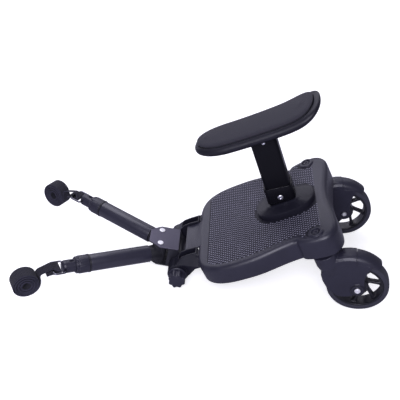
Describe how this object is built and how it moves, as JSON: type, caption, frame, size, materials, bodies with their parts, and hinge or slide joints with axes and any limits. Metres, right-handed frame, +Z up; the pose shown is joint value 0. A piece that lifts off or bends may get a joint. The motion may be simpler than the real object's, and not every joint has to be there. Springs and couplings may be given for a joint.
{
  "type": "stroller board with seat",
  "caption": "Ride-on board that trails behind a pushchair, with a textured deck, swivel wheels, a small seat on a post and two adjustable coupling arms with straps.",
  "frame": {"origin": "centre of the whole part's bounding box seen from above, at floor level", "axes": "+X runs along the board from the coupling arms to the wheels, +Y across the board to the child's right hand (the child faces -X), +Z up from the floor"},
  "size_m": [0.7781, 0.381, 0.4199],
  "materials": {
    "black_plastic": "satin black, faintly bluish",
    "dark_plastic": "black, smooth",
    "post_coat": "black powder coat, satin",
    "tube_coat": "dark grey powder coat, satin",
    "channel_coat": "black powder coat, satin",
    "plate_metal": "dark grey satin",
    "steel": "bright plated",
    "tyre_rubber": "black, soft sheen",
    "nylon": "dark grey, slippery",
    "webbing": "black woven webbing",
    "pad_fabric": "black padded cloth"
  },
  "bodies": {
    "board": {"deck": "black_plastic", "seat_base": "black_plastic", "post_sleeve": "dark_plastic", "seat_post": "post_coat", "post_bolt": "steel", "post_nut": "steel", "seat_bolt": "steel", "seat_bracket": "dark_plastic", "seat_shell": "black_plastic", "seat_pad": "pad_fabric", "base_screw_front": "steel", "base_screw_rear": "steel", "hinge_axle": "steel", "caster_cap_left": "black_plastic", "caster_bolt_left": "steel", "caster_bush_left": "nylon", "hinge_cheek_left": "black_plastic", "cheek_screw_left": "steel", "hinge_spacer_left": "nylon", "caster_cap_right": "black_plastic", "caster_bolt_right": "steel", "caster_bush_right": "nylon", "hinge_cheek_right": "black_plastic", "cheek_screw_right": "steel", "hinge_spacer_right": "nylon"},
    "hub": {"hub_channel": "channel_coat", "hub_plate": "plate_metal", "arm_pin_left": "steel", "arm_pin_right": "steel"},
    "knob": {"clamp_knob": "black_plastic"},
    "caster_left": {"fork_left": "black_plastic", "fender_left": "black_plastic", "wheel_bolt_left": "steel", "wheel_nut_left": "steel"},
    "wheel_left": {"wheel_core_left": "dark_plastic", "tyre_left": "tyre_rubber", "wheel_bearing_left": "steel"},
    "arm_left": {"arm_knuckle_left": "dark_plastic", "arm_tube_left": "tube_coat", "trim_ring_left": "dark_plastic"},
    "collar_left": {"lock_collar_left": "black_plastic"},
    "slider_left": {"inner_tube_left": "tube_coat", "end_fitting_left": "black_plastic"},
    "ring_left": {"steel_ring_left": "steel"},
    "strap_left": {"strap_left": "webbing"},
    "caster_right": {"fork_right": "black_plastic", "fender_right": "black_plastic", "wheel_bolt_right": "steel", "wheel_nut_right": "steel"},
    "wheel_right": {"wheel_core_right": "dark_plastic", "tyre_right": "tyre_rubber", "wheel_bearing_right": "steel"},
    "arm_right": {"arm_knuckle_right": "dark_plastic", "arm_tube_right": "tube_coat", "trim_ring_right": "dark_plastic"},
    "collar_right": {"lock_collar_right": "black_plastic"},
    "slider_right": {"inner_tube_right": "tube_coat", "end_fitting_right": "black_plastic"},
    "ring_right": {"steel_ring_right": "steel"},
    "strap_right": {"strap_right": "webbing"}
  },
  "joints": [
    {"name": "caster_swivel_left", "type": "hinge", "parent": "board", "child": "caster_left", "pos_m": [0.25124, -0.13, 0.13724], "axis": [-0.4217, 0, 0.9067], "continuous": true},
    {"name": "caster_swivel_right", "type": "hinge", "parent": "board", "child": "caster_right", "pos_m": [0.25124, 0.13, 0.13724], "axis": [-0.4217, 0, 0.9067], "continuous": true},
    {"name": "wheel_spin_left", "type": "hinge", "parent": "caster_left", "child": "wheel_left", "pos_m": [0.32547, -0.13508, 0.06335], "axis": [0.1262, 0.9903, 0.0587], "continuous": true},
    {"name": "wheel_spin_right", "type": "hinge", "parent": "caster_right", "child": "wheel_right", "pos_m": [0.32579, 0.13, 0.0635], "axis": [0, 1, 0], "continuous": true},
    {"name": "hub_tilt", "type": "hinge", "parent": "board", "child": "hub", "pos_m": [-0.04918, 0, 0.022], "axis": [0, 1, 0], "range_deg": [-95, 33]},
    {"name": "knob_turn", "type": "hinge", "parent": "board", "child": "knob", "pos_m": [-0.04918, -0.0803, 0.022], "axis": [0, 1, 0], "range_deg": [-720, 720]},
    {"name": "arm_swing_left", "type": "hinge", "parent": "hub", "child": "arm_left", "pos_m": [-0.09419, -0.0228, 0.03735], "axis": [0.1746, 0, 0.9846], "range_deg": [-24, 27]},
    {"name": "arm_swing_right", "type": "hinge", "parent": "hub", "child": "arm_right", "pos_m": [-0.09419, 0.0228, 0.03735], "axis": [0.1746, 0, 0.9846], "range_deg": [-27, 24]},
    {"name": "lock_collar_turn_left", "type": "hinge", "parent": "arm_left", "child": "collar_left", "pos_m": [-0.24677, -0.10624, 0.06441], "axis": [-0.8669, -0.4741, 0.1538], "range_deg": [0, 90]},
    {"name": "lock_collar_turn_right", "type": "hinge", "parent": "arm_right", "child": "collar_right", "pos_m": [-0.24677, 0.10624, 0.06441], "axis": [-0.8669, 0.4741, 0.1538], "range_deg": [0, 90]},
    {"name": "arm_extend_left", "type": "slide", "parent": "arm_left", "child": "slider_left", "axis": [-0.8669, -0.4741, 0.1538], "range_m": [0, 0.06]},
    {"name": "arm_extend_right", "type": "slide", "parent": "arm_right", "child": "slider_right", "axis": [-0.8669, 0.4741, 0.1538], "range_m": [0, 0.06]},
    {"name": "ring_pivot_left", "type": "hinge", "parent": "slider_left", "child": "ring_left", "pos_m": [-0.28232, -0.12568, 0.07071], "axis": [-0.4668, 0.8805, 0.0828], "range_deg": [-35, 35]},
    {"name": "ring_pivot_right", "type": "hinge", "parent": "slider_right", "child": "ring_right", "pos_m": [-0.28232, 0.12568, 0.07071], "axis": [0.4668, 0.8805, -0.0828], "range_deg": [-35, 35]},
    {"name": "strap_pivot_left", "type": "hinge", "parent": "ring_left", "child": "strap_left", "pos_m": [-0.30486, -0.138, 0.07471], "axis": [-0.4668, 0.8805, 0.0828], "range_deg": [-40, 40]},
    {"name": "strap_pivot_right", "type": "hinge", "parent": "ring_right", "child": "strap_right", "pos_m": [-0.30486, 0.138, 0.07471], "axis": [0.4668, 0.8805, -0.0828], "range_deg": [-40, 40]}
  ]
}
